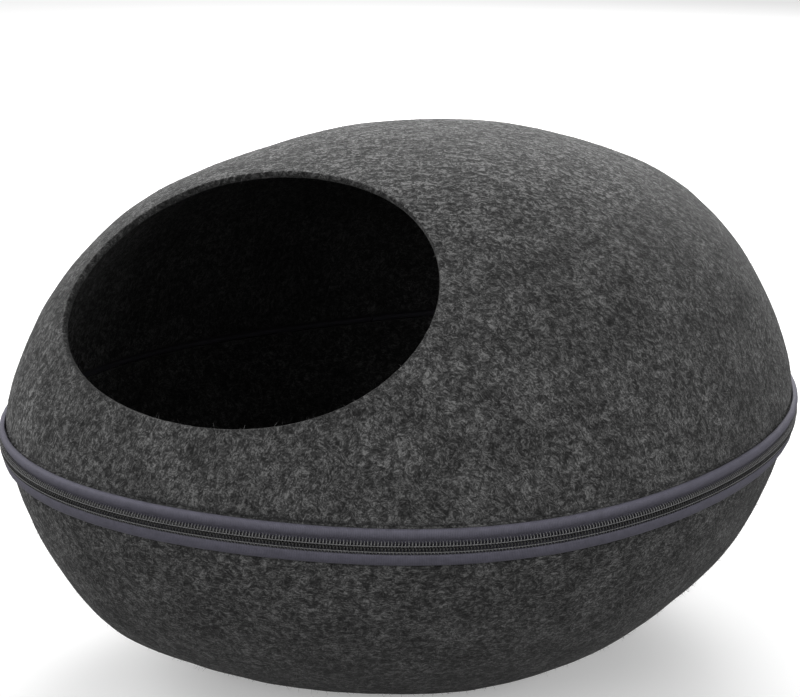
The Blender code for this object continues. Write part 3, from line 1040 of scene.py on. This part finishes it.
@made_once("node_groups", "repeat_along_line")
def repeat_tree(name):
    """Sets copies of one object along a line of edges at an even pitch."""
    sheet, given, out = new_group(
        name,
        [
            ("Line", "NodeSocketGeometry", None),
            ("Piece", "NodeSocketObject", None),
            ("Pitch", "NodeSocketFloat", 1.8 * MM),
            ("Start", "NodeSocketFloat", 0.0),
            ("Wobble", "NodeSocketFloat", 0.0),
            ("Seed", "NodeSocketInt", 5),
            ("Material", "NodeSocketMaterial", None),
        ],
        [("Pieces", "NodeSocketGeometry")],
        "GeometryNodeTree",
    )
    curve = sheet.add("GeometryNodeMeshToCurve", {"Mesh": given["Line"]}).outputs[0]
    ends = {"Curve": curve, 4: given["Start"], 5: 100.0}
    trimmed = sheet.add("GeometryNodeTrimCurve", ends, mode="LENGTH").outputs[0]
    spacing = {"Curve": trimmed, "Length": given["Pitch"]}
    points = sheet.add("GeometryNodeCurveToPoints", spacing, mode="LENGTH").outputs
    heading = sheet.add(
        "FunctionNodeAlignRotationToVector",
        {"Vector": points["Tangent"]},
        axis="X",
        pivot_axis="Z",
    ).outputs[0]
    wobble = given["Wobble"]
    back = sheet.times(wobble, -1.0)
    set_copies(sheet, given, out, points["Points"], heading, [back] * 3, [wobble] * 3)
    return sheet.tree


def grow(name, carrier, tree, values):
    """Runs a geometry tree on its carrier, keeps the result as a plain mesh, drops the rest."""
    change = carrier.modifiers.new("grow", "NODES")
    change.node_group = tree
    for item in tree.interface.items_tree:
        if item.item_type == "SOCKET" and item.in_out == "INPUT" and item.name in values:
            change[item.identifier] = values[item.name]
    carrier.update_tag()
    bpy.context.view_layer.update()
    ready = carrier.evaluated_get(bpy.context.evaluated_depsgraph_get())
    mesh = bpy.data.meshes.new_from_object(ready)
    mesh.name = name
    carrier.modifiers.remove(change)
    for used in (carrier, values["Piece"]):
        bpy.data.objects.remove(used, do_unlink=True)
    if len(mesh.polygons) == 0:
        raise RuntimeError(name + " came out empty")
    mesh.shade_smooth()
    return link_object(name, mesh)


def repeat_along_zip(name, piece, line, start, wobble, seed, material):
    """Copies of a piece along a line beside the zip, one to each tooth."""
    pitch = settings().tooth_pitch
    values = {
        "Piece": piece,
        "Pitch": pitch,
        "Start": start * pitch,
        "Wobble": wobble,
        "Seed": seed,
        "Material": material,
    }
    return grow(name, line, repeat_tree(), values)


def coil_material():
    """Dark nylon, a little shiny."""
    colour = settings().coil_colour
    colours = (rgba(colour, 0.7), rgba(colour, 1.5))
    finish = {"Specular IOR Level": 0.55}
    return grained_material(
        "nylon_coil", 700.0, 2.0, (0.35, 0.65), colours, finish, rough=(0.30, 0.46)
    )


def thread_material():
    """Grey sewing thread, twisted of two strands."""
    colour = settings().thread_colour
    colours = (rgba(colour, 0.55), rgba(colour, 1.3))
    finish = {"Roughness": 0.6}
    return grained_material("sewing_thread", 2600.0, 1.0, (0.35, 0.65), colours, finish, bump=0.4)


class CATBED_OT_zip_teeth(bpy.types.Operator):
    """Makes the two rows of interlocked coil teeth"""

    bl_idname = "catbed.zip_teeth"
    bl_label = "Zip teeth"

    def execute(self, context):
        for name, side, start, replaced in (
            ("teeth_of_upper_row", 1.0, 0.25, "zip_coil_upper"),
            ("teeth_of_lower_row", -1.0, 0.75, "zip_coil_lower"),
        ):
            tooth = tube_mesh("tooth", *tooth_path(side), COIL_SIDES, closed=True)
            line = zip_path(0.0, TOOTH_PROUD)
            values = (tooth, line, start, TOOTH_WOBBLE, TOOTH_SEED, coil_material())
            finish_piece(repeat_along_zip(name, *values), "zip_coil", replaced)
        return {"FINISHED"}


class CATBED_OT_zip_threads(bpy.types.Operator):
    """Makes the seams that hold each row of teeth to its tape"""

    bl_idname = "catbed.zip_threads"
    bl_label = "Zip threads"

    def execute(self, context):
        length = 1.12 * settings().tooth_pitch
        for row, side in (("upper", 1.0), ("lower", -1.0)):
            for name, path, start in (
                ("stitches_of_%s_row", stitch_path(length), 0.5),
                ("legs_of_%s_row", leg_path(side), 0.97),
            ):
                thread = tube_mesh("thread", *path, COIL_SIDES, closed=False)
                line = zip_path(side * THREAD_RISE, THREAD_PROUD)
                values = (thread, line, start, THREAD_WOBBLE, THREAD_SEED, thread_material())
                finish_piece(repeat_along_zip(name % row, *values), "zip_tape")
        return {"FINISHED"}


# End tab, slider and pull

TAB_CREST, TAB_FOOT = 4.75 * MM, 1.9 * MM
TAB_OVERLAP, TAB_SLOPE = 1.15, 4.6
TAB_SHEET, TAB_CURL = 0.8 * MM, 0.35 * MM
TAB_COLUMNS, TAB_ROWS = 28, 40
SLIDER_LENGTH, SLIDER_WIDTH, SLIDER_PLATE = 12.0 * MM, 8.4 * MM, 1.8 * MM
SLIDER_FACE = 4.6 * MM
SLIDER_TAPER, PULL_TAPER = 0.28, 0.22
PLATE_CORNER, EYE_CORNER = 2.0 * MM, 1.2 * MM
BAIL_WIDTH, BAIL_RISE, BAIL_WIRE = 2.4 * MM, 3.2 * MM, 0.5 * MM
BAIL_TOP, BAIL_BOTTOM = 2.4 * MM, -3.0 * MM
BAIL_POINTS, BAIL_SIDES = 17, 10
PULL_WIDTH, PULL_SHEET, PULL_GAP = 7.0 * MM, 1.2 * MM, 0.3 * MM
PULL_TOP, PULL_BOTTOM = 1.0 * MM, -23.0 * MM
PULL_EYE_TOP, PULL_EYE_BOTTOM, PULL_EYE_WIDTH = -0.5 * MM, -4.4 * MM, 3.4 * MM


def tab_face(angle, share, lift):
    """A face of the end tab: share runs from its top edge to its bottom one."""
    top = TAB_OVERLAP + UPPER_TAPE_REACH / MM
    bottom = -(LOWER_TAPE_REACH / MM + TAB_OVERLAP)
    rise = top + (bottom - top) * share
    over = np.clip(np.minimum(top - rise, rise - bottom) / TAB_SLOPE, 0.0, 1.0)
    swell = np.sin(0.5 * math.pi * over) ** 0.9
    proud = TAB_FOOT + (TAB_CREST - TAB_FOOT) * swell + lift
    return wall_points(angle, zip_line(angle) + rise * MM, proud)


def make_end_tab():
    """A plain patch of tape over the two ends of the zip, with its width and length."""
    across = np.linspace(-1.0, 1.0, TAB_COLUMNS + 1)
    share = np.linspace(0.0, 1.0, TAB_ROWS + 1)
    angles, shares = np.meshgrid(ZIP_END_ANGLE + across * TAB_HALF_SPAN, share)
    curl = -TAB_CURL * np.abs(across[None, :]) ** 8
    outer = tab_face(angles, shares, TAB_SHEET + curl)
    inner = tab_face(angles, shares, curl)
    wide, down = running_length(outer[0]), running_length(outer[:, 0])
    grid = np.concatenate([outer, inner[:, ::-1]], axis=1)
    return tape_mesh("tab_over_zip_ends", grid, down, wide), float(wide[-1]), float(down[-1])


def slider_axes():
    """A point on the zip line under the slider, the way along the zip, and the way out."""
    angle = np.array([SLIDER_ANGLE - AIM_STEP, SLIDER_ANGLE, SLIDER_ANGLE + AIM_STEP])
    height = np.full(3, float(zip_line(np.array([SLIDER_ANGLE]))[0]))
    before, point, after = wall_points(angle, height)
    along = Vector(after - before).normalized()
    return Vector(point), along, along.cross(Vector((0.0, 0.0, 1.0)))


def slider_place(x, reach, y):
    """A point in the slider's own directions: along the zip, out from it, and up."""
    point, along, out = slider_axes()
    return tuple(point + along * x + out * reach + Vector((0.0, 0.0, y)))


def plate_outline(half_length, half_width, corner, taper, steps=6):
    """A rounded outline as (along, up) points, narrower at its far end by taper."""
    points = []
    for quarter, (side_x, side_y) in enumerate(((1, 1), (-1, 1), (-1, -1), (1, -1))):
        for step in range(steps + 1):
            turn = 0.5 * math.pi * (quarter + step / steps)
            x = side_x * (half_length - corner) + corner * math.cos(turn)
            y = side_y * (half_width - corner) + corner * math.sin(turn)
            points.append((x, y * (1.0 - taper * (0.5 + 0.5 * x / half_length))))
    return points


def inset_outline(outline, amount):
    """An outline drawn in towards its middle by an even amount."""
    points = np.asarray(outline, dtype=float)
    ahead = np.roll(points, -1, axis=0) - np.roll(points, 1, axis=0)
    ahead = ahead / np.maximum(np.linalg.norm(ahead, axis=1, keepdims=True), 1e-9)
    inward = np.stack([-ahead[:, 1], ahead[:, 0]], axis=-1)
    return (points + inward * amount).tolist()


def soft_edge_rings(low, high, outline, edge, way=1.0):
    """Stacked outlines from low to high, the first and last drawn in by the edge's rounding."""
    near = ((low, 1.0), (low + 0.3 * edge, 0.35), (low + edge, 0.0))
    far = ((high - edge, 0.0), (high - 0.3 * edge, 0.35), (high, 1.0))
    return [(reach, inset_outline(outline, inset * edge * way)) for reach, inset in near + far]


def make_plate(name, rings, hole_rings=()):
    """A metal plate of stacked outlines, with a hole where hole outlines are given."""
    count = len(rings[0][1])
    points = []
    for reach, outline in (*rings, *hole_rings):
        points += [slider_place(x, reach, y) for x, y in outline]
    faces = closed_row_faces(len(rings), count)
    if hole_rings:
        start = len(rings) * count
        faces += closed_row_faces(len(hole_rings), count, start)
        faces += band_faces(0, start, count)
        faces += band_faces(start - count, len(points) - count, count)
    else:
        faces += end_faces(len(rings), count)
    return face_out(make_mesh_object(name, points, faces, metal_material()))


def metal_material():
    """Dark painted metal, a little uneven."""
    colour = settings().metal_colour
    colours = (rgba(colour, 0.85), rgba(colour, 1.2))
    finish = {"Metallic": 0.6}
    return grained_material(
        "painted_metal", 900.0, 3.0, (0.35, 0.65), colours, finish, rough=(0.28, 0.42), bump=0.15
    )


def make_slider():
    """The slider's plate, and the flat bail that holds the pull."""
    outline = plate_outline(0.5 * SLIDER_LENGTH, 0.5 * SLIDER_WIDTH, PLATE_CORNER, SLIDER_TAPER)
    high = SLIDER_FACE + SLIDER_PLATE
    plate = make_plate("slider_plate", soft_edge_rings(SLIDER_FACE, high, outline, 0.5 * MM))
    top, foot = high + BAIL_RISE - BAIL_WIRE, high - 0.4 * MM
    middle, half = 0.5 * (BAIL_TOP + BAIL_BOTTOM), 0.5 * (BAIL_TOP - BAIL_BOTTOM) - BAIL_WIRE
    bail = []
    for step in range(BAIL_POINTS):
        turn = math.pi * step / (BAIL_POINTS - 1)
        reach = foot + (top - foot) * math.sin(turn) ** 0.45
        bail.append(slider_place(0.0, reach, middle + half * math.cos(turn)))
    arch = tube_mesh("slider_bail", bail, [BAIL_WIRE] * BAIL_POINTS, BAIL_SIDES, closed=False)
    points = np.array([corner.co for corner in arch.data.vertices])
    way = np.array(slider_axes()[1])
    offset = points - np.repeat(np.array(bail), BAIL_SIDES, axis=0)
    widening = BAIL_WIDTH / (2.0 * BAIL_WIRE) - 1.0
    points = points + (offset @ way)[:, None] * way * widening
    arch.data.vertices.foreach_set("co", points.astype(np.float32).ravel())
    arch.data.materials.append(metal_material())
    bpy.ops.object.select_all(action="DESELECT")
    for part in (plate, arch):
        part.select_set(True)
    bpy.context.view_layer.objects.active = plate
    bpy.ops.object.join()
    plate.name = "slider_with_bail"
    return plate


def upright_outline(top, bottom, width, corner, taper):
    """A rounded outline that hangs between two heights, as (along, up) points."""
    outline = plate_outline(0.5 * (top - bottom), 0.5 * width, corner, taper)
    return [(-y, 0.5 * (top + bottom) - x) for x, y in outline]


def make_pull():
    """The flat pull with its eye, hanging from the bail."""
    body = upright_outline(PULL_TOP, PULL_BOTTOM, PULL_WIDTH, PLATE_CORNER, PULL_TAPER)
    eye = upright_outline(PULL_EYE_TOP, PULL_EYE_BOTTOM, PULL_EYE_WIDTH, EYE_CORNER, 0.0)
    near = SLIDER_FACE + SLIDER_PLATE + PULL_GAP
    far = near + PULL_SHEET
    holes = soft_edge_rings(near, far, eye, 0.25 * MM, way=-1.0)
    return make_plate("pull_plate", soft_edge_rings(near, far, body, 0.35 * MM), holes)


class CATBED_OT_zip_ends(bpy.types.Operator):
    """Makes the tab over the zip's ends, the slider and its pull"""

    bl_idname = "catbed.zip_ends"
    bl_label = "Tab, slider and pull"

    def execute(self, context):
        tab, width, length = make_end_tab()
        finish_piece(tab, "zip_tape", "zip_end_tab")
        finish_piece(make_slider(), "slider_metal", "zip_slider")
        finish_piece(make_pull(), "slider_metal", "zip_pull")
        return {"FINISHED"}


# Loose hairs of the felt

HAIR_RADIUS = 0.055 * MM
HAIR_LEAN, HAIR_SHORTEST, HAIR_LONGEST = 1.25, 0.35, 1.5
HAIR_SIZE_SEED = 77
RIM_BAND, RIM_HAIRINESS = 0.012, 5.0
TAPE_COVER = 0.8 * MM
BASE_BARE = 1.5 * MM


@made_once("node_groups", "scatter_hairs")
def hair_tree(name):
    """Scatters hairs over a surface, each leaning its own way."""
    sheet, given, out = new_group(
        name,
        [
            ("Felt", "NodeSocketGeometry", None),
            ("Piece", "NodeSocketObject", None),
            ("Density", "NodeSocketFloat", 10000.0),
            ("Shortest", "NodeSocketFloat", HAIR_SHORTEST),
            ("Longest", "NodeSocketFloat", HAIR_LONGEST),
            ("Lean", "NodeSocketFloat", HAIR_LEAN),
            ("Seed", "NodeSocketInt", 3),
            ("Material", "NodeSocketMaterial", None),
        ],
        [("Hairs", "NodeSocketGeometry")],
        "GeometryNodeTree",
    )
    more = sheet.add("GeometryNodeInputNamedAttribute", {"Name": "hairiness"}, data_type="FLOAT")
    density = sheet.times(given["Density"], more.outputs["Attribute"])
    spacing = {"Mesh": given["Felt"], "Seed": given["Seed"], "Density": density}
    points = sheet.add(
        "GeometryNodeDistributePointsOnFaces", spacing, distribute_method="RANDOM"
    ).outputs
    sizes = {2: given["Shortest"], 3: given["Longest"], "Seed": HAIR_SIZE_SEED}
    size = sheet.add("FunctionNodeRandomValue", sizes, data_type="FLOAT").outputs[1]
    lean = given["Lean"]
    back = sheet.times(lean, -1.0)
    low, high = (back, back, -math.pi), (lean, lean, math.pi)
    set_copies(sheet, given, out, points["Points"], points["Rotation"], low, high, Scale=size)
    return sheet.tree


def hair_mesh(length):
    """One hair: a thin bent spindle that starts just inside the felt."""
    points = []
    for share in np.linspace(0.0, 1.0, 5):
        bend, sway = 0.34 * share**2, 0.10 * math.sin(2.6 * share)
        points.append((bend * length, sway * length, length * (share - 0.08)))
    radii = [HAIR_RADIUS * size for size in (0.75, 1.0, 0.9, 0.7, 0.2)]
    return tube_mesh("hair", points, radii, 3, closed=False)


def outer_skin(felt, name):
    """The outward part of a felt shell, with more hairs asked for along the entrance's cut."""
    mesh = felt.data.copy()
    count = len(mesh.polygons)
    centres, normals = np.zeros(count * 3), np.zeros(count * 3)
    mesh.polygons.foreach_get("center", centres)
    mesh.polygons.foreach_get("normal", normals)
    centres, normals = centres.reshape(-1, 3), normals.reshape(-1, 3)
    outward = np.sum(unit(centres - MIDDLE) * normals, axis=1) > -0.2
    rise = centres[:, 2] - zip_line(plan_angle(centres))
    covered = (rise < UPPER_TAPE_REACH + TAPE_COVER) & (rise > -LOWER_TAPE_REACH - TAPE_COVER)
    wanted = outward & ~covered & (centres[:, 2] >= BASE_BARE)
    centre, out, _, _ = entrance_axes()
    near_rim = np.abs(np.sqrt(oval_distance(centres)) - 1.0) < RIM_BAND
    near_rim &= (centres[:, 2] > ZIP_HEIGHT) & ((centres - centre) @ out > 0.0)
    share = wanted.astype(np.float32) * np.where(near_rim, RIM_HAIRINESS, 1.0)
    hairiness = mesh.attributes.new("hairiness", "FLOAT", "FACE")
    hairiness.data.foreach_set("value", share.astype(np.float32))
    return link_object(name, mesh)


def hair_material():
    """Loose wool hairs, from dark to pale grey."""
    values = settings()
    colours = (rgba(values.felt_middle), rgba(values.felt_light, 1.5))
    finish = {"Roughness": 0.85, "Specular IOR Level": 0.2}
    return grained_material("loose_wool", 420.0, 0.0, (0.42, 0.62), colours, finish)


class CATBED_OT_loose_hairs(bpy.types.Operator):
    """Scatters loose wool hairs over the felt"""

    bl_idname = "catbed.loose_hairs"
    bl_label = "Loose hairs"

    def execute(self, context):
        for name, felt, seed in (
            ("hairs_of_dome", "felt_dome", 3),
            ("hairs_of_bowl", "felt_bowl", 8),
        ):
            inputs = {
                "Piece": hair_mesh(settings().hair_length),
                "Density": settings().hairs_per_area,
                "Shortest": HAIR_SHORTEST,
                "Longest": HAIR_LONGEST,
                "Lean": HAIR_LEAN,
                "Seed": seed,
                "Material": hair_material(),
            }
            skin = outer_skin(bpy.data.objects[felt], name + "_skin")
            finish_piece(grow(name, skin, hair_tree(), inputs), "felt")
        return {"FINISHED"}


# Studio

# How much of its colour the floor throws back up at the bed, and how it and the backdrop glow
FLOOR_BOUNCE = 0.3
FLOOR_GLOW, BACKDROP_GAIN = 0.35, 0.3
FLOOR_RADIUS, FLOOR_SIDES = 7.0, 64

# The lights' size, the height that they face, and the left back light's share of the right one
LIGHT_SIZE = 1.0
LIGHT_AIM = (0.0, 0.0, 0.12)
LEFT_SHARE = 0.32


def look_at(made, target):
    """Turns a light or camera to face a point."""
    way = Vector(target) - made.location
    made.rotation_euler = way.to_track_quat("-Z", "Y").to_euler()


def add_soft_light(name, place, power):
    """A square soft light that faces the bed."""
    data = bpy.data.lights.new(name, "AREA")
    data.size = LIGHT_SIZE
    data.energy = power
    made = link_object(name, data)
    made.location = place
    look_at(made, LIGHT_AIM)


def add_camera():
    """The camera at the photograph's view of the bed."""
    data = bpy.data.cameras.new("camera")
    data.lens, data.sensor_width = VIEW_LENS, VIEW_SENSOR
    data.sensor_fit = "HORIZONTAL"
    data.shift_x, data.shift_y = VIEW_SHIFT
    made = link_object("camera", data)
    level = math.cos(VIEW_ELEVATION)
    x, y = math.sin(VIEW_AZIMUTH) * level, -math.cos(VIEW_AZIMUTH) * level
    made.location = Vector(MIDDLE) + Vector((x, y, math.sin(VIEW_ELEVATION))) * VIEW_DISTANCE
    look_at(made, MIDDLE)
    bpy.context.scene.camera = made


def add_floor():
    """A wide pale floor that looks lighter than the light it throws back up."""
    colour = settings().floor_colour
    finish, sheet, shader = new_material("pale_floor")
    seen = sheet.add("ShaderNodeLightPath").outputs["Is Camera Ray"]
    looks = {
        "Base Color": sheet.blend(seen, rgba(colour, FLOOR_BOUNCE), rgba(colour)),
        "Roughness": 0.9,
        "Specular IOR Level": 0.1,
        "Emission Color": rgba(colour),
        "Emission Strength": sheet.times(seen, FLOOR_GLOW),
    }
    sheet.fill(shader, looks)
    turn = np.arange(FLOOR_SIDES) * FULL_TURN / FLOOR_SIDES
    ring = FLOOR_RADIUS * np.stack([np.cos(turn), np.sin(turn), 0.0 * turn], axis=-1)
    floor = make_mesh_object("floor", ring, [tuple(range(FLOOR_SIDES))], finish, smooth=False)


class CATBED_OT_studio(bpy.types.Operator):
    """Makes the pale floor, the soft lights and the camera"""

    bl_idname = "catbed.studio"
    bl_label = "Studio"

    def execute(self, context):
        values = settings()
        add_floor()
        add_soft_light("back_right_light", (0.95, 1.35, 1.05), values.back_light)
        add_soft_light("back_left_light", (-0.95, 1.25, 1.05), values.back_light * LEFT_SHARE)
        add_soft_light("front_left_light", (-2.0, -0.9, 1.0), values.front_light)
        add_soft_light("front_right_light", (1.0, -1.9, 1.0), values.front_light)
        world = bpy.data.worlds.new("room")
        world.use_nodes = True
        air = NodeSheet(world.node_tree)
        seen = air.add("ShaderNodeLightPath").outputs["Is Camera Ray"]
        strength = air.math("MULTIPLY_ADD", seen, BACKDROP_GAIN, values.sky_light)
        background = world.node_tree.nodes["Background"]
        air.fill(background, {"Color": (1.0, 1.0, 1.0, 1.0), "Strength": strength})
        scene = bpy.context.scene
        scene.world = world
        scene.view_settings.view_transform = "Standard"
        add_camera()
        return {"FINISHED"}


# Panel and registering

STEPS = (
    CATBED_OT_upper_felt,
    CATBED_OT_lower_felt,
    CATBED_OT_zip_tapes,
    CATBED_OT_zip_teeth,
    CATBED_OT_zip_threads,
    CATBED_OT_zip_ends,
    CATBED_OT_loose_hairs,
    CATBED_OT_studio,
)


class CATBED_PT_panel(bpy.types.Panel):
    """The cat bed's settings and the steps that make it"""

    bl_idname = "CATBED_PT_panel"
    bl_label = "Cat Bed"
    bl_space_type = "VIEW_3D"
    bl_region_type = "UI"
    bl_category = "Cat Bed"

    def draw(self, context):
        for name in CatBedSettings.__annotations__:
            self.layout.prop(context.scene.cat_bed, name)
        for step in STEPS:
            self.layout.operator(step.bl_idname)


CLASSES = (CatBedSettings, *STEPS, CATBED_PT_panel)


def register():
    """Makes the classes and settings known."""
    for item in CLASSES:
        bpy.utils.register_class(item)
    bpy.types.Scene.cat_bed = bpy.props.PointerProperty(type=CatBedSettings)


def unregister():
    """Takes the classes and settings away again."""
    del bpy.types.Scene.cat_bed
    for item in reversed(CLASSES):
        bpy.utils.unregister_class(item)


def main():
    """Makes every piece and the studio."""
    register()
    bpy.ops.catbed.upper_felt()
    bpy.ops.catbed.lower_felt()
    bpy.ops.catbed.zip_tapes()
    bpy.ops.catbed.zip_teeth()
    bpy.ops.catbed.zip_threads()
    bpy.ops.catbed.zip_ends()
    bpy.ops.catbed.loose_hairs()
    bpy.ops.catbed.studio()


if __name__ == "__main__":
    main()
